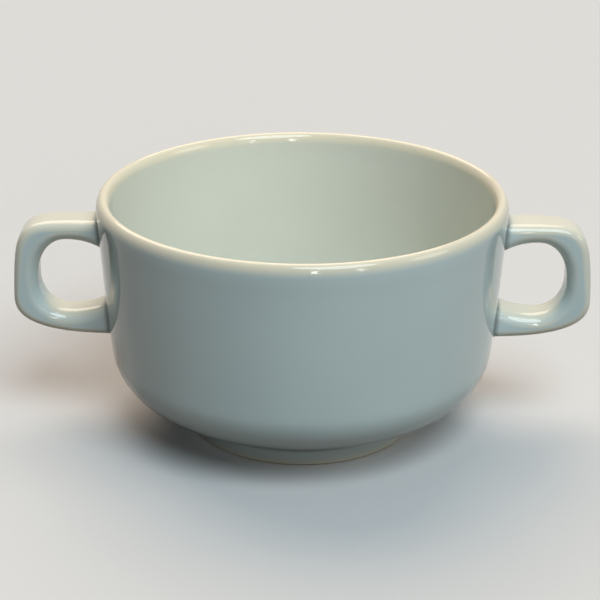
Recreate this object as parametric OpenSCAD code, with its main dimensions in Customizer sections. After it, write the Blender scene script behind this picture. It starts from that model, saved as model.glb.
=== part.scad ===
// Stackable two-handled bouillon cup, cast and fired in one piece.
// Millimetres. Z is the axis of the cup, the foot stands on Z = 0, the handles lie along X.

/* [Cup] */
// Diameter over the lip
rim_d = 105; // [92:1:125]
// Height from the table to the top of the lip
cup_h = 63; // [60:1:80]

/* [Lip and wall] */
// Thickness of the rounded lip
lip_t = 3.6; // [3:0.1:4.4]
// Height of the rounding on both sides of the lip
lip_roll = 3; // [2:0.2:4]
// How far the lip stands proud of the wall below it
lip_flare = 0.2; // [0.1:0.1:0.8]
// Height over which the lip flares out
lip_flare_h = 6; // [4:0.5:8]
// Lean of the outside of the wall just below the lip, in degrees
outer_lean = 3.6; // [2.6:0.1:4.4]
// Lean of the inside of the wall, in degrees
inner_lean = 4.5; // [3.9:0.1:5.3]
// Radius of the slight bulge of the outside of the wall
bulge_r = 900; // [600:20:1600]

/* [Base and foot] */
// Radius of the round shoulder between wall and base
shoulder_r = 14.5; // [12:0.5:17]
// Slope of the base above the foot, in degrees
base_slope = 25; // [20:1:30]
// Outer diameter of the foot ring where it stands
foot_d = 59; // [52:1:64]
// Height of the foot ring where it meets the base
foot_h = 5.3; // [4.6:0.1:6]
// Width of the flat face that the foot ring stands on
foot_face = 2.2; // [1.6:0.1:4]
// Radius on the edges of the foot ring
foot_edge_r = 0.8; // [0.4:0.1:1.2]
// Draft of both sides of the foot ring, in degrees
foot_draft = 8; // [3:1:14]
// Radius of the crease between the foot ring and the base
crease_r = 1; // [0.4:0.1:1.6]
// Height of the recess under the floor
recess_h = 4.4; // [3.4:0.1:5]
// Radius of the corner inside the recess
recess_corner_r = 1.5; // [0.8:0.1:2.2]
// Thickness of the floor
floor_t = 4.6; // [4.2:0.1:6]
// Radius of the inside corner between wall and floor
inner_r = 18; // [16:0.5:21]

/* [Handles] */
// How far a handle reaches out past the lip
reach = 22; // [19:0.5:26]
// Depth of the top of the handles below the top of the lip
handle_drop = 7; // [6:0.5:10]
// Height of a handle from its top to its underside
handle_h = 31; // [29:0.2:33]
// Depth of the widest point of a handle below its top
crest_drop = 20.7; // [16.7:0.5:22.7]
// Squareness of the upper outer corner, where 2 is an ellipse
top_square = 6.2; // [3.5:0.1:8]
// Squareness of the lower outer corner
low_square = 2.6; // [2.2:0.1:4]
// How far the outer post leans in towards the cup at its top
post_lean = 1.6; // [0:0.2:3]
// Width of the handle band, across the cup
band_w = 11; // [8:0.5:14]
// Radius on the long edges of the band
band_edge_r = 2; // [1:0.1:2.2]
// Extra width of the band where it grows out of the wall
root_flare = 1; // [0:0.25:3]

/* [Finger holes] */
// Thickness of the upper arm over the middle of the hole
upper_arm_t = 5.3; // [4.6:0.1:6.6]
// Thickness of the lower arm under the middle of the hole
lower_arm_t = 6.2; // [4.8:0.1:7]
// Thickness of the outer post
post_t = 6.4; // [4.8:0.1:7.6]
// Length from the middle of the hole to the outer post
hole_out = 7.9; // [7:0.1:9.4]
// How far the oval of the hole would run on inside the wall
hole_over = 2.3; // [1.5:0.1:6]
// Squareness of the outer side of the hole
hole_square = 2.15; // [2:0.05:3]
// Depth of the middle of the hole below the middle between its top and bottom
hole_sag = 1; // [0:0.1:2]

/* [Smoothness] */
// Facets around the cup
turn_fn = 96; // [64:8:160]
// Steps along each handle
handle_steps = 44; // [32:4:60]

/* [Hidden] */
glaze = "#d8dedb";
// Steps on a long arc, on each side of the lip, on a small fillet, and on each round edge of the band
arc_n = 12;
lip_n = 6;
fillet_n = 5;
edge_n = 3;

// The lip, and the neck where its flare runs out into the wall
rim_r = rim_d / 2;
lip_r = lip_t / 2;
lip_z = cup_h - lip_roll;
neck = [rim_r - lip_flare - lip_flare_h * tan(outer_lean) / 2, lip_z - lip_flare_h];

// The foot ring, from its outer to its inner edge
foot_out = foot_d / 2 - foot_edge_r;
foot_in = foot_out - foot_face;
foot_top = [foot_d / 2 + foot_h * tan(foot_draft), foot_h];
side_n = [cos(foot_draft), -sin(foot_draft)];
crease_run = crease_r / tan((90 + foot_draft + base_slope) / 2);
crease_c = foot_top - crease_run * [sin(foot_draft), cos(foot_draft)] + crease_r * side_n;
recess_cz = recess_h - recess_corner_r;
recess_c = [foot_in - (foot_edge_r + recess_corner_r + sin(foot_draft) * (recess_cz - foot_edge_r))
                / cos(foot_draft), recess_cz];

// The outside of the wall is an arc about bulge_c, and the shoulder one about shoulder_c
bulge_c = neck - bulge_r * [cos(outer_lean), -sin(outer_lean)];
base_n = [-sin(base_slope), cos(base_slope)];
base_gap = (foot_top - bulge_c) * base_n + shoulder_r;
shoulder_a = asin(-base_gap / (bulge_r - shoulder_r)) - base_slope;
shoulder_c = bulge_c + (bulge_r - shoulder_r) * [cos(shoulder_a), -sin(shoulder_a)];

// The inside has a leaning wall, a round corner about inner_c and a flat floor
floor_z = recess_h + floor_t;
inner_cz = floor_z + inner_r;
lip_end = 180 - atan(lip_roll / lip_r * tan(inner_lean));
lip_in = lip(lip_end);
inner_reach = inner_r + sin(inner_lean) * (lip_in.y - inner_cz);
inner_c = [lip_in.x - inner_reach / cos(inner_lean), inner_cz];

// The handle, with its widest point at crest_z
handle_top = cup_h - handle_drop;
handle_low = handle_top - handle_h;
crest_z = handle_top - crest_drop;
tip_x = rim_r + reach;
// The lean of the post grows with this power of the height above the widest point
lean_power = 1.5;

// The finger hole. Each arm beside it ends halfway through the wall.
hole_top = handle_top - upper_arm_t;
hole_low = handle_low + lower_arm_t;
upper_x = mid_wall(hole_top);
lower_x = mid_wall(hole_low);
hole_c = [tip_x - post_t - hole_out, (hole_top + hole_low) / 2 - hole_sag];
hole_in = hole_c.x - lower_x + hole_over;
// Up to this angle the hole and the outline turn together, and past it the hole turns faster
even_turn = 30;
// The flare at the roots grows with this power of the angle
root_power = 6;

function arc(c, r, from, to, n) =
    [for (i = [0 : n]) let (a = from + (to - from) * i / n) c + r * [cos(a), sin(a)]];

// Middle of the wall at height z
function mid_wall(z) =
    let (outside = bulge_c.x + sqrt(bulge_r * bulge_r - pow(z - bulge_c.y, 2)),
         inside = rim_r - lip_t - (lip_z - z) * tan(inner_lean))
    (outside + inside) / 2;

// Point of the lip at angle a, on half an ellipse
function lip(a) = [rim_r - lip_r + lip_r * cos(a), lip_z + lip_roll * sin(a)];

// Flare of the lip: half a cosine wave on top of the lean of the wall
function flare(t) =
    [rim_r - lip_flare * (1 - cos(180 * t)) / 2 - lip_flare_h * tan(outer_lean) * t * t / 2,
     lip_z - lip_flare_h * t];

// Half of the cup's section: out under the foot, up the outside, over the lip and down inside
function section() = concat(
    [[0, recess_h]],
    arc(recess_c, recess_corner_r, 90, foot_draft, fillet_n),
    arc([foot_in, foot_edge_r], foot_edge_r, 180 + foot_draft, 270, fillet_n),
    arc([foot_out, foot_edge_r], foot_edge_r, 270, 360 - foot_draft, fillet_n),
    arc(crease_c, crease_r, 180 - foot_draft, 90 + base_slope, fillet_n),
    arc(shoulder_c, shoulder_r, base_slope - 90, -shoulder_a, arc_n),
    arc(bulge_c, bulge_r, -shoulder_a, -outer_lean, arc_n),
    [for (i = [arc_n - 1 : -1 : 1]) flare(i / arc_n)],
    [for (i = [0 : lip_n]) lip(90 * i / lip_n)],
    [for (i = [1 : lip_n]) lip(90 + (lip_end - 90) * i / lip_n)],
    arc(inner_c, inner_r, -inner_lean, -90, arc_n),
    [[0, floor_z]]
);

// Point at angle a on an oval with half-axes ax and az, where a square of 2 is an ellipse
function oval(c, ax, az, square, a) =
    let (s = pow(pow(abs(cos(a)), square) + pow(abs(sin(a)), square), -1 / square))
    c + s * [ax * cos(a), az * sin(a)];

// Outline of a handle, as distance from the cup's axis and height, from 90 down to -90 degrees
function outline(a) =
    a < 0
    ? oval([lower_x, crest_z], tip_x - lower_x, crest_z - handle_low, low_square, a)
    : let (p = oval([upper_x, crest_z], tip_x - upper_x, handle_top - crest_z, top_square, a),
           out = (p.x - upper_x) / (tip_x - upper_x),
           up = max(0, p.y - crest_z) / (handle_top - crest_z))
      [p.x - post_lean * out * pow(up, lean_power), p.y];

function hole(a) =
    oval(hole_c, abs(a) > 90 ? hole_in : hole_out,
         a >= 0 ? hole_top - hole_c.y : hole_c.y - hole_low,
         abs(a) > 90 ? 2 : hole_square, a);

// Angle on the hole that faces angle a on the outline, so that both end at the same distance
function facing(a) =
    let (end = acos(((a >= 0 ? upper_x : lower_x) - hole_c.x) / hole_in))
    a + sign(a) * (end - 90) * pow(max(0, abs(a) - even_turn) / (90 - even_turn), 2);

// Cross-section of the band at angle a: a rounded rectangle between outline and hole
function band_section(a) =
    let (out = outline(a), in = hole(facing(a)), mid = (out + in) / 2,
         long = norm(out - in), dir = (out - in) / long,
         wide = band_w + root_flare * pow(abs(a) / 90, root_power),
         r = min(band_edge_r, 0.45 * long))
    [for (k = [0 : 3]) for (i = [0 : edge_n])
        let (turn = 90 * (k + i / edge_n),
             u = (k == 0 || k == 3 ? 1 : -1) * (long / 2 - r) + r * cos(turn),
             v = (k < 2 ? 1 : -1) * (wide / 2 - r) + r * sin(turn))
        [mid.x + u * dir.x, v, mid.y + u * dir.y]];

module bowl() {
    rotate_extrude($fn = turn_fn)
        polygon(section());
}

// The band runs from its upper root in the wall out, down and back to its lower root
module handle() {
    ring = 4 * (edge_n + 1);
    points = [for (i = [0 : handle_steps]) each band_section(90 - 180 * i / handle_steps)];
    sides = [for (i = [0 : handle_steps - 1]) for (k = [0 : ring - 1])
        let (a = i * ring + k, b = i * ring + (k + 1) % ring)
        [a, b, b + ring, a + ring]];
    upper_end = [for (k = [ring - 1 : -1 : 0]) k];
    lower_end = [for (k = [0 : ring - 1]) handle_steps * ring + k];
    polyhedron(points, concat([upper_end, lower_end], sides));
}

module cup() {
    color(glaze)
        union() {
            bowl();
            handle();
            mirror([1, 0, 0]) handle();
        }
}

cup();
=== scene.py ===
"""Bouillon cup in glazed porcelain: its surface, its glaze, and the plain stage that it stands on.

Sizes are in millimetres and repeat the part's own. A mesh turns them to metres when it is made.
"""

import bpy
import numpy as np
from mathutils import Matrix, Vector


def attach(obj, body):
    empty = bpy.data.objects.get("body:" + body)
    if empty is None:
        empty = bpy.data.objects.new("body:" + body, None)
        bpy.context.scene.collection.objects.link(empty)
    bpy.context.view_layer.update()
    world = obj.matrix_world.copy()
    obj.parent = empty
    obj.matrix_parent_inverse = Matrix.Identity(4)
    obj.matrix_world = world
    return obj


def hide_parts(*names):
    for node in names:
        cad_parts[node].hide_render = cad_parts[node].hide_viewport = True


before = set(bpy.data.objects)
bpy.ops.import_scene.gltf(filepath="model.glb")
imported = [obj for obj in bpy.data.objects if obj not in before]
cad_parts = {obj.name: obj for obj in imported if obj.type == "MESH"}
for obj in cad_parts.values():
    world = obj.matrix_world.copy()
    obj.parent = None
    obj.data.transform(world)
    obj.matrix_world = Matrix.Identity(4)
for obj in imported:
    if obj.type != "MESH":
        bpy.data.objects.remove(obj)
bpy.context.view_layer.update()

MM = 0.001

# Lip and wall. The lip stands FLARE proud of the wall, which it gains over a height of FLARE_H. Both sides
# of the wall lean out, and its outside bulges a little.
RIM_R = 52.5
CUP_H = 63.0
LIP_T = 3.6
LIP_ROLL = 3.0
FLARE = 0.2
FLARE_H = 6.0
OUTER_LEAN = np.radians(3.6)
INNER_LEAN = np.radians(4.5)
BULGE_R = 900.0

# Base and foot. The recess lies under the floor, inside the foot ring.
SHOULDER_R = 14.5
BASE_SLOPE = np.radians(25.0)
FOOT_R = 29.5
FOOT_H = 5.3
FOOT_FACE = 2.2
FOOT_EDGE = 0.8
FOOT_DRAFT = np.radians(8.0)
CREASE_R = 1.0
RECESS_H = 4.4
RECESS_CORNER = 1.5
FLOOR_T = 4.6
INNER_R = 18.0

# Outline of the handles. CREST_Z is the height of the widest point. An oval with a square of 2 is an
# ellipse, and a higher one is nearer to a rectangle. The post leans in with a power of the height.
REACH = 22.0
HANDLE_TOP = 56.0
HANDLE_LOW = 25.0
CREST_Z = 35.3
TOP_SQUARE = 6.2
LOW_SQUARE = 2.6
POST_LEAN = 1.6
LEAN_POWER = 1.5

# Finger holes: the thickness of the arms and the post beside them, how far a hole's oval reaches out and
# runs on inside the wall, and how far its middle lies below half its height. Up to EVEN_TURN the hole and
# the outline turn together.
UPPER_ARM = 5.3
LOWER_ARM = 6.2
POST = 6.4
HOLE_OUT = 7.9
HOLE_OVER = 2.3
HOLE_SQUARE = 2.15
HOLE_SAG = 1.0
EVEN_TURN = np.radians(30)

# Cross-section of the handle's band: its width, the radius of its edges outside and beside the hole, what
# the width gains at the roots and with which power, and the crown of its faces
BAND_W = 11.0
BAND_EDGE = 2.0
HOLE_EDGE = 3.0
ROOT_FLARE = 1.0
ROOT_POWER = 6
CROWN = 0.2

# Radius of the glaze-filled fillet where a handle joins the wall
FILLET = 0.9

# Mesh: columns around the cup, and steps along each kind of arc in its section
COLUMNS = 320
FOOT_STEPS = 7
SHOULDER_STEPS = 14
LIP_STEPS = 13
INNER_STEPS = 26

# Mesh: the window that is left in the wall at each root of a handle, and the points along its edge
HALF_WINDOW = 11
WINDOW_ROWS = 16
LOWER_WINDOW = (21.3, 38.3)
UPPER_WINDOW = (43.6, 59.6)
RING = 4 * HALF_WINDOW + 2 * WINDOW_ROWS

# Mesh: points that each half corner of the band takes, steps of the finely divided band, and rings along a
# fillet, a patch and the band as it is made
CORNER = 4
FINE_STEPS = 1600
FILLET_RINGS = 7
PATCH_RINGS = 4
BAND_RINGS = 66

# The glaze thins with the curvature, per millimetre, and with the height near the top of the lip. Its cream
# tone there is partly the body showing through and partly painted light on the edges and the lip. Faces
# that look up take the same cream as painted light from above, less strongly, by the share that follows the
# pairs.
# Each pair says where that begins and where it is complete. The shares are spread over neighbouring points
# so many times.
BEND_THIN_AND_LIT = (0.05, 0.35)
LIP_THIN_AND_LIT = (CUP_H - 3.2, CUP_H - 1.0)
TOP_LIGHT_FACING = (0.3, 0.8)
TOP_LIGHT_SHARE = 0.7
SPREADS = 6

# Distances at which the painted shade, with deeper glaze, round a handle's join, or above the foot, falls
# to e to the minus 1
JOIN_SHADE = 0.9
CREASE_SHADE = 1.1

# Names of the shares that each point of the mesh carries: thin glaze with painted top light, deeper glaze
# with painted crease shade, and inside
SHARES = ("thin_glaze_and_top_light", "pooled_glaze_and_shade", "inside")


def polar(angle):
    """Unit vectors at these angles, in radians."""
    return np.stack([np.cos(angle), np.sin(angle)], axis=-1)


def unit(vectors):
    """The same vectors, each over its own length."""
    return vectors / np.linalg.norm(vectors, axis=-1, keepdims=True)


def part_way(value, low, high):
    """0 up to low, 1 from high on, and (value - low) / (high - low) between."""
    return np.clip((value - low) / (high - low), 0, 1)


def arc(centre, radius, start, end, steps):
    """Points of a circle about centre, from angle start to angle end in radians, evenly spaced."""
    return np.asarray(centre) + radius * polar(np.linspace(start, end, steps + 1))


def line(start, end, steps):
    """Points strictly between start and end, evenly spaced."""
    share = np.linspace(0, 1, steps + 1)[1:-1, None]
    return np.asarray(start) * (1 - share) + np.asarray(end) * share


# Points of the cup's half section as (radius, height). NECK is where the lip's flare ends, FOOT_TOP where
# the side of the foot meets the base, and LIP_IN where the lip's round ends inside. BASE_N is the base's
# normal, and BASE_GAP how far FOOT_TOP lies along it from the bulge's centre, and the shoulder's radius
# more. SHOULDER_A is the angle at which the shoulder's arc meets the bulge, at the height SHOULDER_Z.
LIP_R = LIP_T / 2
LIP_Z = CUP_H - LIP_ROLL
NECK = np.array([RIM_R - FLARE - FLARE_H * np.tan(OUTER_LEAN) / 2, LIP_Z - FLARE_H])
BULGE_C = NECK - BULGE_R * polar(-OUTER_LEAN)
FOOT_TOP = np.array([FOOT_R + FOOT_H * np.tan(FOOT_DRAFT), FOOT_H])
BASE_N = polar(BASE_SLOPE + np.pi / 2)
BASE_GAP = (FOOT_TOP - BULGE_C) @ BASE_N + SHOULDER_R
SHOULDER_A = np.arcsin(-BASE_GAP / (BULGE_R - SHOULDER_R)) - BASE_SLOPE
SHOULDER_C = BULGE_C + (BULGE_R - SHOULDER_R) * polar(-SHOULDER_A)
SHOULDER_Z = BULGE_C[1] - BULGE_R * np.sin(SHOULDER_A)
FLOOR_Z = RECESS_H + FLOOR_T
LIP_C = np.array([RIM_R - LIP_R, LIP_Z])
LIP_END = np.pi - np.arctan(LIP_ROLL / LIP_R * np.tan(INNER_LEAN))
LIP_IN = LIP_C + np.array([LIP_R, LIP_ROLL]) * polar(LIP_END)
INNER_CZ = FLOOR_Z + INNER_R
INNER_REACH = INNER_R + np.sin(INNER_LEAN) * (LIP_IN[1] - INNER_CZ)
INNER_C = np.array([LIP_IN[0] - INNER_REACH / np.cos(INNER_LEAN), INNER_CZ])


def wall_radius(z):
    """Radius of the outside at height z, in three stretches that meet smoothly.

    Shoulder and bulge: centre + sqrt(radius^2 - (z - centre height)^2). Lip: the rim's radius less half a
    cosine wave, less a share of the lean that grows with the square of the depth below the lip.
    """
    shoulder = SHOULDER_C[0] + np.sqrt(np.maximum(SHOULDER_R**2 - (z - SHOULDER_C[1]) ** 2, 0))
    bulge = BULGE_C[0] + np.sqrt(BULGE_R**2 - (z - BULGE_C[1]) ** 2)
    depth = np.clip((LIP_Z - z) / FLARE_H, 0, 1)
    wave = FLARE * (1 - np.cos(np.pi * depth)) / 2
    flare = RIM_R - wave - FLARE_H * np.tan(OUTER_LEAN) * depth**2 / 2
    return np.where(z < SHOULDER_Z, shoulder, np.where(z < NECK[1], bulge, flare))


def wall_point(turn, z):
    """Point of the outside at this turn about the axis and this height: the radius there, carried round."""
    r = wall_radius(z)
    return np.stack([r * np.cos(turn), r * np.sin(turn), z], axis=-1)


def wall_normal(turn, z):
    """Outward normal of the outside: radial, less the slope of the radius along the height."""
    step = 0.01
    slope = (wall_radius(z + step) - wall_radius(z - step)) / (2 * step)
    return unit(np.stack([np.cos(turn), np.sin(turn), -slope], axis=-1))


def rolled(flat):
    """Points of the outside from their places (turn times the rim's radius, height) on the flat."""
    return wall_point(flat[:, 0] / RIM_R, flat[:, 1])


def cup_section():
    """Half section of the cup as rows of (radius, height), from under the middle of the floor, out and
    round the foot, up the outside, over the lip and down the inside to the middle of the floor.

    Arcs meet arcs and straight runs at shared tangents. Heights on the outside fall on the rows of the
    two windows. The second value is the first row of each window.
    """
    foot_out = FOOT_R - FOOT_EDGE
    foot_in = foot_out - FOOT_FACE
    recess_cz = RECESS_H - RECESS_CORNER
    run_in = FOOT_EDGE + RECESS_CORNER + np.sin(FOOT_DRAFT) * (recess_cz - FOOT_EDGE)
    recess_c = [foot_in - run_in / np.cos(FOOT_DRAFT), recess_cz]
    recess = arc(recess_c, RECESS_CORNER, np.pi / 2, FOOT_DRAFT, FOOT_STEPS)
    inner_edge = arc([foot_in, FOOT_EDGE], FOOT_EDGE, np.pi + FOOT_DRAFT, 1.5 * np.pi, FOOT_STEPS)
    outer_edge = arc([foot_out, FOOT_EDGE], FOOT_EDGE, 1.5 * np.pi, 2 * np.pi - FOOT_DRAFT, FOOT_STEPS)
    crease_run = CREASE_R / np.tan((np.pi / 2 + FOOT_DRAFT + BASE_SLOPE) / 2)
    side = polar(-FOOT_DRAFT)
    down = -polar(np.pi / 2 - FOOT_DRAFT)
    crease_c = FOOT_TOP + crease_run * down + CREASE_R * side
    crease = arc(crease_c, CREASE_R, np.pi - FOOT_DRAFT, np.pi / 2 + BASE_SLOPE, FOOT_STEPS)
    # The shoulder is drawn by angle up to 24 degrees below level, and by height from there on
    shoulder = arc(SHOULDER_C, SHOULDER_R, BASE_SLOPE - np.pi / 2, np.radians(-24), SHOULDER_STEPS)
    heights = np.concatenate([
        np.linspace(shoulder[-1, 1], LOWER_WINDOW[0], 5)[1:],
        np.linspace(*LOWER_WINDOW, WINDOW_ROWS + 1)[1:],
        np.linspace(LOWER_WINDOW[1], UPPER_WINDOW[0], 6)[1:],
        np.linspace(*UPPER_WINDOW, WINDOW_ROWS + 1)[1:],
        np.linspace(UPPER_WINDOW[1], LIP_Z, 3)[1:-1],
    ])
    wall = np.stack([wall_radius(heights), heights], axis=-1)
    over = np.concatenate([
        np.linspace(0, np.pi / 2, LIP_STEPS + 1),
        np.linspace(np.pi / 2, LIP_END, LIP_STEPS + 1)[1:],
    ])
    lip = LIP_C + np.array([LIP_R, LIP_ROLL]) * polar(over)
    corner = arc(INNER_C, INNER_R, -INNER_LEAN, -np.pi / 2, INNER_STEPS)
    stretches = [
        [[0, RECESS_H]],
        line([0, RECESS_H], recess[0], 8),
        recess,
        line(recess[-1], inner_edge[0], 2),
        inner_edge,
        line(inner_edge[-1], outer_edge[0], 3),
        outer_edge,
        line(outer_edge[-1], crease[0], 4),
        crease,
        line(crease[-1], shoulder[0], 8),
        shoulder,
        wall,
        lip,
        line(lip[-1], corner[0], 26),
        corner,
        line(corner[-1], [0, FLOOR_Z], 12),
        [[0, FLOOR_Z]],
    ]
    rows = np.concatenate([np.asarray(stretch, float).reshape(-1, 2) for stretch in stretches])
    # Below the lip only the outside lies this far from the axis
    outside = rows[:, 0] > RIM_R - LIP_T
    lows = (LOWER_WINDOW[0], UPPER_WINDOW[0])
    return rows, [int(np.argmin(np.where(outside, np.abs(rows[:, 1] - low), np.inf))) for low in lows]


def oval(centre, half_x, half_z, square, angle):
    """Points of an oval at these angles: |x|^square + |z|^square = 1, stretched to its half-axes."""
    c, s = np.cos(angle), np.sin(angle)
    size = (np.abs(c) ** square + np.abs(s) ** square) ** (-1 / square)
    return np.stack([centre[0] + size * half_x * c, centre[1] + size * half_z * s], axis=-1)


def middle_of_wall(z):
    """Radius halfway through the wall at height z."""
    inside = RIM_R - LIP_T - (LIP_Z - z) * np.tan(INNER_LEAN)
    return (float(wall_radius(z)) + inside) / 2


def band_guides(angle):
    """Outline of a handle and the edge of its finger hole, as (distance from the axis, height) rows that
    face each other, from the upper root at 90 degrees round to the lower root at -90 degrees.

    The outline is two quarter ovals that meet at the widest point. The hole is an oval whose angle runs
    ahead of the outline's past EVEN_TURN, by a square law, so that both end at the same distance.
    """
    top, low = HANDLE_TOP - UPPER_ARM, HANDLE_LOW + LOWER_ARM
    upper_x, lower_x = middle_of_wall(top), middle_of_wall(low)
    tip = RIM_R + REACH
    outline = np.where(
        (angle >= 0)[:, None],
        oval((upper_x, CREST_Z), tip - upper_x, HANDLE_TOP - CREST_Z, TOP_SQUARE, angle),
        oval((lower_x, CREST_Z), tip - lower_x, CREST_Z - HANDLE_LOW, LOW_SQUARE, angle),
    )
    root = np.where(angle >= 0, upper_x, lower_x)
    height = np.maximum(0, outline[:, 1] - CREST_Z) / (HANDLE_TOP - CREST_Z)
    outline[:, 0] -= POST_LEAN * height**LEAN_POWER * (outline[:, 0] - root) / (tip - root)
    centre = (tip - POST - HOLE_OUT, (top + low) / 2 - HOLE_SAG)
    inward = centre[0] - lower_x + HOLE_OVER
    end = np.arccos((root - centre[0]) / inward)
    ahead = (np.maximum(0, np.abs(angle) - EVEN_TURN) / (np.pi / 2 - EVEN_TURN)) ** 2
    facing = angle + np.sign(angle) * (end - np.pi / 2) * ahead
    past = np.abs(facing) > np.pi / 2
    hole = oval(
        centre,
        np.where(past, inward, HOLE_OUT),
        np.where(angle >= 0, top - centre[1], centre[1] - low),
        np.where(past, 2, HOLE_SQUARE),
        facing,
    )
    return outline, hole


def band_ring():
    """Unit plan of the band's cross-section, as point rows in the order of a window's edge.

    Each side has its corners' halves at both ends and a straight run between them. The first result says
    where the centre of the corner lies as a share of the half sizes, the second which way the corner's
    radius points, across the band first and out from the hole second.
    """
    across, out = 2 * HALF_WINDOW, WINDOW_ROWS
    sides = (
        (across, (0, 1), (1, 0)),
        (out, (1, 0), (0, -1)),
        (across, (0, -1), (-1, 0)),
        (out, (-1, 0), (0, 1)),
    )
    centres, ways = [], []
    for count, normal, along in sides:
        i = np.arange(count)[:, None]
        first_half = np.clip(i / CORNER, 0, 1)
        last_half = np.clip((i - count) / CORNER + 1, 0, 1)
        turn = np.radians(45 - 45 * first_half - 45 * last_half)
        run = 2 * np.clip((i - CORNER) / (count - 2 * CORNER), 0, 1) - 1
        normal, along = np.array(normal), np.array(along)
        centres.append(normal + run * along)
        ways.append(normal * np.cos(turn) - along * np.sin(turn))
    return np.concatenate(centres), np.concatenate(ways)


def band_surface(angle):
    """The band as rings of points, one ring for each angle round the handle.

    A ring is a rounded rectangle between outline and hole, with a larger radius on the edges beside the
    hole. On a thin band the radii shrink to 0.4 and 0.55 of its thickness. The faces are crowned by the
    square of the distance from their middle, and the width grows towards the roots with a high power of
    the angle.
    """
    outline, hole = band_guides(angle)
    middle = (outline + hole) / 2
    thick = np.linalg.norm(outline - hole, axis=1)[:, None]
    out = (outline - hole) / thick
    wide = (BAND_W + ROOT_FLARE * (np.abs(angle) / (np.pi / 2)) ** ROOT_POWER)[:, None]
    centres, ways = band_ring()
    outer = np.minimum(BAND_EDGE, 0.4 * thick)
    inner = np.minimum(HOLE_EDGE, 0.55 * thick)
    radius = inner + (outer - inner) * (1 + centres[:, 1]) / 2
    u = centres[:, 0] * (wide / 2 - radius) + radius * ways[:, 0]
    v = (inner - outer + centres[:, 1] * (thick - inner - outer)) / 2 + radius * ways[:, 1]
    share_u, share_v = 2 * u / wide, 2 * v / thick
    u = u - CROWN * share_u * share_v**2
    v = v - CROWN * share_v * share_u**2
    x = middle[:, :1] + v * out[:, :1]
    z = middle[:, 1:] + v * out[:, 1:]
    return np.stack([x, u, z], axis=-1)


def pick(rings, place):
    """Points at these places along each curve of the rings, by straight blending between rings."""
    below = np.clip(np.floor(place).astype(int), 0, len(rings) - 2)
    share = place - below
    column = np.arange(rings.shape[1])
    if rings.ndim == 3:
        share = share[..., None]
    return rings[below, column] * (1 - share) + rings[below + 1, column] * share


def place_of(rings, value):
    """Place along each curve of rising rings at which it first reaches the value."""
    below = np.clip((rings < value).sum(axis=0) - 1, 0, len(rings) - 2)
    column = np.arange(rings.shape[1])
    low, high = rings[below, column], rings[below + 1, column]
    return below + (value - low) / (high - low)


def lengths(points):
    """Length run from the first point up to each point, along the first axis."""
    steps = np.linalg.norm(np.diff(points, axis=0), axis=-1)
    return np.concatenate([np.zeros_like(steps[:1]), np.cumsum(steps, axis=0)])


def conic(start, middle, end, weight, steps):
    """Points after start on the conic arc to end: shares (1 - t)^2, 2 t (1 - t) weight and t^2 of the three
    control points, over their sum."""
    t = np.linspace(0, 1, steps + 1)[1:, None, None]
    shares = (1 - t) ** 2, 2 * t * (1 - t) * weight, t**2
    return (shares[0] * start + shares[1] * middle + shares[2] * end) / sum(shares)


def root_rings(dense, window):
    """Rings of the join between a band and the wall: the place where each curve of the band leaves off,
    the fillet's rings, and the patch's rings out to the window's edge.

    dense runs from inside the wall outwards. Each of its curves meets the wall at a point. The fillet
    starts on the curve and ends on the wall, both one leg away, where a leg is the fillet's radius times
    the tangent of half the turn. Between them lies a conic arc whose middle control point is on both
    tangents, with the sine of half the corner as its weight. The patch blends turn and height evenly from
    the fillet's end to the window's edge.
    """
    gap = np.hypot(dense[..., 0], dense[..., 1]) - wall_radius(dense[..., 2])
    meet = place_of(gap, 0.0)
    hit = pick(dense, meet)
    flat = np.stack([np.arctan2(hit[:, 1], hit[:, 0]) * RIM_R, hit[:, 2]], axis=-1)
    edge = np.roll(flat, -1, axis=0) - np.roll(flat, 1, axis=0)
    away = unit(np.stack([-edge[:, 1], edge[:, 0]], axis=-1))
    away = away * np.sign(np.sum(away * (flat - flat.mean(axis=0)), axis=1, keepdims=True))
    # Directions from the meeting point: along the band over 12 steps, and over 0.1 mm of the wall, away
    # from the band
    heading = unit(pick(dense, meet + 12) - hit)
    reach = unit(rolled(flat + 0.1 * away) - hit)
    corner = np.arccos(np.clip(np.sum(heading * reach, axis=1), -1, 1))
    leg = FILLET * np.tan((np.pi - corner) / 2)
    length = lengths(dense)
    start = place_of(length, pick(length, meet) + leg)
    on_band = pick(dense, start)
    back = unit(pick(dense, start - 2) - pick(dense, start + 2))
    foot = flat + leg[:, None] * away
    on_wall = rolled(foot)
    normal = wall_normal(foot[:, 0] / RIM_R, foot[:, 1])
    far = np.sum(normal * (on_wall - on_band), axis=1) / np.sum(normal * back, axis=1)
    between = on_band + far[:, None] * back
    fillet = conic(on_band, between, on_wall, np.sin(corner / 2)[:, None], FILLET_RINGS)
    t = np.linspace(0, 1, PATCH_RINGS + 1)[1:-1, None]
    patch = wall_point(
        (foot[:, 0] / RIM_R) * (1 - t) + window[:, 0] * t,
        foot[:, 1] * (1 - t) + window[:, 1] * t,
    )
    return start, fillet, patch


def window_walk():
    """Columns from the middle and rows from the bottom of a window, at the points round its edge, from one
    upper corner along the top, down the far side, back along the bottom and up."""
    across = np.arange(-HALF_WINDOW, HALF_WINDOW)
    up = np.arange(WINDOW_ROWS)
    side = np.full(WINDOW_ROWS, HALF_WINDOW)
    columns = np.concatenate([across, side, -across, -side])
    rows = np.concatenate([np.full(len(across), WINDOW_ROWS), WINDOW_ROWS - up, np.zeros_like(across), up])
    return columns, rows


def window_edge(low, high):
    """Turn and height of the points round a window between these heights."""
    columns, rows = window_walk()
    return np.stack([columns * 2 * np.pi / COLUMNS, low + (high - low) * rows / WINDOW_ROWS], axis=-1)


# The band comes down to its lower root upside down, so the walk round that window starts at the lower
# corner below the first one and goes the other way
LOWER_WALK = (RING - WINDOW_ROWS - np.arange(RING)) % RING


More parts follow.
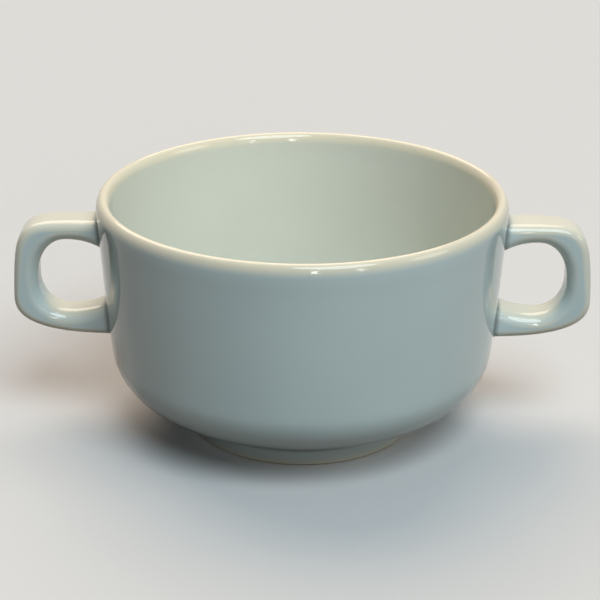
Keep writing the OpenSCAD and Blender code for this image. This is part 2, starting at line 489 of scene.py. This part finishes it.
def handle_rings():
    """All rings of the right handle between the edges of its two windows, upper root first, and the middle
    rings of its two fillets.

    The band is divided finely and then taken at even lengths along its middle line. At a share t of the way
    each curve is moved by (1 - t)^3 and t^3 of what brings its two ends to where its fillets leave off.
    """
    angle = np.radians(np.linspace(90, -90, FINE_STEPS + 1))
    dense = band_surface(angle)
    count = np.arange(len(dense))
    upper_start, upper_fillet, upper_patch = root_rings(dense, window_edge(*UPPER_WINDOW))
    lower_start, lower_fillet, lower_patch = root_rings(dense[::-1], window_edge(*LOWER_WINDOW)[LOWER_WALK])
    lower_start = len(dense) - 1 - lower_start
    length = lengths(dense.mean(axis=1))
    first, last = np.interp([upper_start.mean(), lower_start.mean()], count, length)
    t = np.linspace(0, 1, BAND_RINGS + 1)[:, None]
    place = np.interp(first + (last - first) * t, length, count)
    place = place + (upper_start - upper_start.mean()) * (1 - t) ** 3
    place = place + (lower_start - lower_start.mean()) * t**3
    band = pick(dense, place)
    rings = np.concatenate([upper_patch[::-1], upper_fillet[::-1], band, lower_fillet, lower_patch])
    middle = FILLET_RINGS // 2
    return rings, np.concatenate([upper_fillet[middle], lower_fillet[middle]])


def cup_mesh():
    """The whole cup as one closed mesh: points in millimetres, four-sided faces, the two fans, and the
    points along the joins of the handles.

    The section is carried round the axis on even columns. The windows' faces are left out, and each
    handle's rings are joined to the edges of its two windows. The left handle is the right one's mirror.
    """
    rows, first = cup_section()
    body = rows[1:-1]
    lower, upper = (row - 1 for row in first)
    grid = np.empty((len(body), COLUMNS, 3))
    grid[..., :2] = body[:, None, :1] * polar(np.arange(COLUMNS) * 2 * np.pi / COLUMNS)
    grid[..., 2] = body[:, 1:]
    index = np.arange(len(body) * COLUMNS).reshape(-1, COLUMNS)
    following = np.roll(index, -1, axis=1)
    quads = np.stack([index[:-1], following[:-1], following[1:], index[1:]], axis=-1)
    keep = np.ones(quads.shape[:2], bool)
    window = np.arange(-HALF_WINDOW, HALF_WINDOW)
    for row in (lower, upper):
        for middle in (0, COLUMNS // 2):
            keep[row:row + WINDOW_ROWS, (window + middle) % COLUMNS] = False
    points = [grid.reshape(-1, 3)]
    faces = [quads[keep]]
    rings, join = handle_rings()
    columns, steps = window_walk()
    count = index.size
    for side in (1, -1):
        around = columns % COLUMNS if side == 1 else (COLUMNS // 2 - columns) % COLUMNS
        upper_edge = index[upper + steps, around]
        lower_edge = index[lower + steps, around][LOWER_WALK]
        inner = np.arange(len(rings) * RING).reshape(-1, RING) + count
        count += inner.size
        points.append((rings * [side, 1, 1]).reshape(-1, 3))
        tube = np.concatenate([upper_edge[None], inner, lower_edge[None]])
        after = np.roll(tube, -1, axis=1)
        skin = np.stack([tube[:-1], tube[1:], after[1:], after[:-1]], axis=-1)
        faces.append((skin if side == 1 else skin[..., ::-1]).reshape(-1, 4))
    points.append([[0, 0, rows[0, 1]], [0, 0, rows[-1, 1]]])
    under = np.stack([np.full(COLUMNS, count), following[0], index[0]], axis=-1)
    over = np.stack([index[-1], following[-1], np.full(COLUMNS, count + 1)], axis=-1)
    points, quads, triangles = np.concatenate(points), np.concatenate(faces), np.concatenate([under, over])
    used = np.zeros(len(points), bool)
    used[quads] = True
    used[triangles] = True
    renumber = np.cumsum(used) - 1
    joins = np.concatenate([join, join * [-1, 1, 1]])
    return points[used], renumber[quads], renumber[triangles], joins


def add_mesh(name, points, quads, triangles):
    """A smooth mesh object at the origin, from points in millimetres."""
    mesh = bpy.data.meshes.new(name)
    mesh.from_pydata((points * MM).tolist(), [], quads.tolist() + triangles.tolist())
    mesh.validate()
    mesh.shade_smooth()
    thing = bpy.data.objects.new(name, mesh)
    bpy.context.scene.collection.objects.link(thing)
    return thing


def point_normals(points, quads):
    """Normal at each point, from the cross products of the diagonals of its four-sided faces. The last two
    points are the middles of the fans, which face straight down and up."""
    across = points[quads[:, 2]] - points[quads[:, 0]]
    down = points[quads[:, 3]] - points[quads[:, 1]]
    normal = np.zeros_like(points)
    for corner in range(4):
        np.add.at(normal, quads[:, corner], np.cross(across, down))
    normal[-2:] = [[0, 0, -1], [0, 0, 1]]
    return unit(normal)


def glaze_shares(points, quads, triangles, joins):
    """Shares from 0 to 1 at each point: thinned glaze and painted top light, painted crease shade, inside.

    The first is the largest of three shares, for the curvature, for the height and, as painted light from
    above, for facing up. Along an edge of the mesh the curvature is the change of the normal in the edge's
    direction over its length, and a point takes the mean over its edges. Inside is where the surface lies
    within the lip's middle and no lower than the floor, and faces up and not away from the axis. Both are
    spread by taking the mean with the neighbouring points. The painted shade, with deeper glaze there, is e
    to the minus square of the distance from a handle's join, or from the crease above the foot, over the
    size of its pool.
    """
    normal = point_normals(points, quads)
    start = np.concatenate([quads.ravel(), triangles.ravel()])
    end = np.concatenate([np.roll(quads, -1, axis=1).ravel(), np.roll(triangles, -1, axis=1).ravel()])
    count = np.bincount(start)
    edge = points[end] - points[start]
    bend = np.sum((normal[end] - normal[start]) * edge, axis=1) / np.sum(edge * edge, axis=1)
    bend = np.bincount(start, bend) / count
    radius = np.hypot(points[:, 0], points[:, 1])
    outward = np.sum(normal[:, :2] * points[:, :2], axis=1) / np.maximum(radius, 1e-9)
    # The margins of 0.3 mm, 0.1 mm and 0.3 keep the lip's middle, the floor and the lip's top inside
    within = (radius < LIP_C[0] + 0.3) & (points[:, 2] > FLOOR_Z - 0.1)
    inside = within & (normal[:, 2] > 0) & (outward < 0.3)
    # Painted top light: outside the cup, faces that look up take the cream tone of thin glaze
    top_light = TOP_LIGHT_SHARE * part_way(normal[:, 2], *TOP_LIGHT_FACING) * ~inside
    thin_and_lit = np.maximum.reduce([part_way(bend, *BEND_THIN_AND_LIT), part_way(points[:, 2], *LIP_THIN_AND_LIT), top_light])
    shares = [thin_and_lit, inside.astype(float)]
    for _ in range(SPREADS):
        shares = [(share + np.bincount(start, share[end]) / count) / 2 for share in shares]
    # Painted shade, with a little deeper glaze, round the handles' joins and in the crease above the foot
    to_join = np.min([np.linalg.norm(points - point, axis=1) for point in joins], axis=0)
    to_crease = np.hypot(radius - FOOT_TOP[0], points[:, 2] - FOOT_TOP[1])
    pooled_and_shaded = np.exp(-np.minimum(to_join / JOIN_SHADE, to_crease / CREASE_SHADE) ** 2)
    return shares[0], pooled_and_shaded, shares[1]


def linear(code):
    """Linear colour of an sRGB hex code: value / 12.92 up to 0.04045, and above that the power 2.4 of
    (value + 0.055) / 1.055."""
    value = np.array([int(code[i:i + 2], 16) for i in (1, 3, 5)]) / 255
    low = value / 12.92
    high = ((value + 0.055) / 1.055) ** 2.4
    return (*np.where(value <= 0.04045, low, high).tolist(), 1.0)


def add_node(tree, kind, settings=None, **links):
    """Adds a node. settings holds its properties and its sockets' values, links its sockets' sources."""
    node = tree.nodes.new(kind)
    for key, value in (settings or {}).items():
        if hasattr(node, key):
            setattr(node, key, value)
        else:
            node.inputs[key].default_value = value
    for key, source in links.items():
        tree.links.new(source, node.inputs[key.replace("_", " ")])
    return node


def new_material(name):
    """An empty node material, and its tree."""
    material = bpy.data.materials.new(name)
    material.use_nodes = True
    material.node_tree.nodes.clear()
    return material, material.node_tree


def mixed(tree, share, first, second):
    """A colour or value that goes from first to second with share. Each of them is a hex code, a number or
    a socket."""
    values = isinstance(first, float) or isinstance(second, float)
    node = add_node(tree, "ShaderNodeMix", {"data_type": "FLOAT" if values else "RGBA"}, Factor=share)
    for key, source in (("A", first), ("B", second)):
        if isinstance(source, bpy.types.NodeSocket):
            tree.links.new(source, node.inputs[key])
        else:
            node.inputs[key].default_value = source if values else linear(source)
    return node.outputs["Result"]


def ramp(tree, source, low, high, top=1.0):
    """Smooth rise of a socket's value from 0 to top as the source goes from low to high: 3 t^2 - 2 t^3 of
    its share t of the way."""
    node = add_node(
        tree,
        "ShaderNodeMapRange",
        {"interpolation_type": "SMOOTHSTEP", "From Min": low, "From Max": high, "To Max": top},
        Value=source,
    )
    return node.outputs["Result"]


# White porcelain, dipped in a clear glaze with a breath of grey-blue in it and fired. The eye sees a wet
# and slightly wavy skin. Over the lip and the edges the glaze runs thin and the warm white body comes
# through, and the same cream is painted on the tops of the handles and other faces that look up, as
# painted light from above. In the crease above the foot and round the roots of the handles a dark grey is
# painted shade, with a little deeper glaze. Inside the cup the tone is lighter and warmer, as painted
# light. The face that the foot stands on was wiped clean before firing and is dull bare porcelain.
# Scales are per metre: clouds of 25 mm in the tone, waves of 11 mm in the skin, 0.2 mm high with a quarter
# of their effect, and grains of 1.4 mm for the ragged end of the glaze, up to 0.3 mm above the table.
def glazed_porcelain():
    material, tree = new_material("glazed_porcelain")
    place = add_node(tree, "ShaderNodeTexCoord").outputs["Object"]
    thin_and_lit, pooled_and_shaded, inside = (
        add_node(tree, "ShaderNodeAttribute", {"attribute_name": name}).outputs["Fac"] for name in SHARES
    )
    cloudy = {"Scale": 40.0, "Detail": 2.0, "Roughness": 0.45}
    clouds = add_node(tree, "ShaderNodeTexNoise", cloudy, Vector=place).outputs["Fac"]
    outer = mixed(tree, clouds, "#C1D3D7", "#CADBDD")
    # Inside, the tone is lighter and warmer than outside: painted light for the better-lit inside of the
    # cup
    inner = mixed(tree, clouds, "#D4D8CF", "#DCE0D7")
    tone = mixed(tree, inside, outer, inner)
    # Cream where the glaze is thin, partly the body showing through and partly painted light on edges and
    # tops
    tone = mixed(tree, ramp(tree, thin_and_lit, 0.0, 1.0, top=0.8), tone, "#ECE1C6")
    # Dark grey in the creases: painted shade, with a little deeper glaze
    tone = mixed(tree, ramp(tree, pooled_and_shaded, 0.0, 1.0, top=0.85), tone, "#707B79")
    height = add_node(tree, "ShaderNodeSeparateXYZ", Vector=place).outputs["Z"]
    ragged = add_node(tree, "ShaderNodeTexNoise", {"Scale": 700.0, "Detail": 2.0}, Vector=place)
    edge = add_node(tree, "ShaderNodeMath", {"operation": "MULTIPLY_ADD"})
    tree.links.new(ragged.outputs["Fac"], edge.inputs[0])
    edge.inputs[1].default_value = 0.4 * MM
    tree.links.new(height, edge.inputs[2])
    glazed = ramp(tree, edge.outputs[0], 0.3 * MM, 0.42 * MM)
    tone = mixed(tree, glazed, "#D8D0BF", tone)
    wavy = {"Scale": 90.0, "Detail": 1.0, "Roughness": 0.4}
    waves = add_node(tree, "ShaderNodeTexNoise", wavy, Vector=place).outputs["Fac"]
    skin = add_node(tree, "ShaderNodeBump", {"Strength": 0.25, "Distance": 0.2 * MM}, Height=waves)
    shader = add_node(
        tree,
        "ShaderNodeBsdfPrincipled",
        {"IOR": 1.5},
        Base_Color=tone,
        Roughness=mixed(tree, glazed, 0.75, 0.07),
        Normal=skin.outputs["Normal"],
    )
    add_node(tree, "ShaderNodeOutputMaterial", Surface=shader.outputs["BSDF"])
    return material


def seen_ray(tree):
    """1 for a camera, glossy or transmission ray, and 0 for a ray that carries light to a dull surface."""
    path = add_node(tree, "ShaderNodeLightPath")
    seen = path.outputs["Is Camera Ray"]
    for name in ("Is Glossy Ray", "Is Transmission Ray"):
        either = add_node(tree, "ShaderNodeMath", {"operation": "MAXIMUM"})
        tree.links.new(seen, either.inputs[0])
        tree.links.new(path.outputs[name], either.inputs[1])
        seen = either.outputs[0]
    return seen


# Matt pale paint, rolled on and without any gloss: the eye sees one even tone. The light that it throws
# back on the cup is reckoned from a darker tone, which keeps the cup's underside in shade.
def painted_floor():
    material, tree = new_material("painted_floor")
    tone = mixed(tree, seen_ray(tree), "#4A4436", "#D6D8DB")
    matt = {"Roughness": 0.9, "Specular IOR Level": 0.0}
    shader = add_node(tree, "ShaderNodeBsdfPrincipled", matt, Base_Color=tone)
    add_node(tree, "ShaderNodeOutputMaterial", Surface=shader.outputs["BSDF"])
    return material


def add_floor():
    """A square floor, six metres wide, at the height of the foot."""
    half = 3000
    corners = np.array([[-half, -half, 0], [half, -half, 0], [half, half, 0], [-half, half, 0]], float)
    floor = add_mesh("floor", corners, np.array([[0, 1, 2, 3]]), np.empty((0, 3), int))
    floor.data.materials.append(painted_floor())


def add_camera():
    """A camera half a metre away, 22.7 degrees above the table and half a degree round to the right. It
    looks at a point 30 mm above the table.

    Its small turns to the side, up and about its own axis set the cup in the frame as photographed. Its
    focal length is 1914 pixels of a picture that is 600 wide.
    """
    distance = 0.5
    downward = 0.395607
    sideways = 0.00103
    upward = 0.00595
    roll = -0.00475
    round_turn = np.radians(0.5)
    forward = Vector((0, np.cos(downward), -np.sin(downward)))
    right = Vector((1, 0, 0))
    up = right.cross(forward)
    place = Vector((0, 0, 0.03)) - distance * forward
    turn = Matrix.Rotation(sideways, 3, up)
    forward, right = turn @ forward, turn @ right
    turn = Matrix.Rotation(upward, 3, right)
    forward, up = turn @ forward, turn @ up
    turn = Matrix.Rotation(roll, 3, forward)
    right, up = turn @ right, turn @ up
    pose = Matrix((right, up, -forward)).transposed().to_4x4()
    pose.translation = place
    data = bpy.data.cameras.new("camera")
    data.sensor_width = 36
    data.lens = 1914.25 / 600 * data.sensor_width
    data.clip_start = 0.01
    camera = bpy.data.objects.new("camera", data)
    camera.matrix_world = Matrix.Rotation(round_turn, 4, "Z") @ pose
    bpy.context.scene.collection.objects.link(camera)
    bpy.context.scene.camera = camera


def add_sun(name, turn, rise, width, strength, colour):
    """A soft far lamp, the same everywhere on the floor. It stands turn degrees clockwise from straight
    behind the cup, rise degrees above the floor, and looks width degrees wide."""
    data = bpy.data.lights.new(name, "SUN")
    data.angle = np.radians(width)
    data.energy = strength
    data.color = colour
    turn, rise = np.radians(turn), np.radians(rise)
    away = Vector((np.cos(rise) * np.sin(turn), np.cos(rise) * np.cos(turn), np.sin(rise)))
    lamp = bpy.data.objects.new(name, data)
    lamp.rotation_euler = (-away).to_track_quat("-Z", "Y").to_euler()
    bpy.context.scene.collection.objects.link(lamp)


def add_light():
    """A broad cool lamp high in front, a broader warm one high behind, a weak one low on the right, and a
    little light from all round. Two upright strips in front, each of five small lamps, give the bright
    points in the glaze. What is seen beyond the floor has the floor's own tone.
    """
    world = bpy.data.worlds.new("studio")
    world.use_nodes = True
    tree = world.node_tree
    around = tree.nodes["Background"]
    around.inputs["Color"].default_value = (0.85, 0.96, 1.05, 1)
    around.inputs["Strength"].default_value = 0.03
    backdrop = add_node(tree, "ShaderNodeBackground", {"Color": linear("#DEDCD8"), "Strength": 1.0})
    choice = add_node(tree, "ShaderNodeMixShader", Fac=seen_ray(tree))
    tree.links.new(around.outputs[0], choice.inputs[1])
    tree.links.new(backdrop.outputs[0], choice.inputs[2])
    tree.links.new(choice.outputs[0], tree.nodes["World Output"].inputs["Surface"])
    bpy.context.scene.world = world
    add_sun("front", turn=156, rise=53, width=36, strength=2.0, colour=(0.8, 0.91, 0.95))
    add_sun("behind", turn=-15, rise=54, width=54, strength=2.2, colour=(1.0, 0.82, 0.66))
    add_sun("right", turn=104, rise=25, width=24, strength=0.42, colour=(1.0, 0.95, 0.82))
    white = (1.0, 0.98, 0.93)
    for i in range(5):
        height = 8 + 4 * i
        add_sun(f"strip_a_{i}", turn=148, rise=height, width=4, strength=0.027, colour=white)
        add_sun(f"strip_b_{i}", turn=173, rise=height, width=4, strength=0.052, colour=white)


points, quads, triangles, joins = cup_mesh()
cup = add_mesh("bouillon_cup", points, quads, triangles)
for name, share in zip(SHARES, glaze_shares(points, quads, triangles, joins)):
    cup.data.attributes.new(name, "FLOAT", "POINT").data.foreach_set("value", share)
cup.data.materials.append(glazed_porcelain())
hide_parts("cup")
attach(cup, "root")

add_floor()
add_camera()
add_light()
bpy.context.scene.view_settings.view_transform = "Standard"
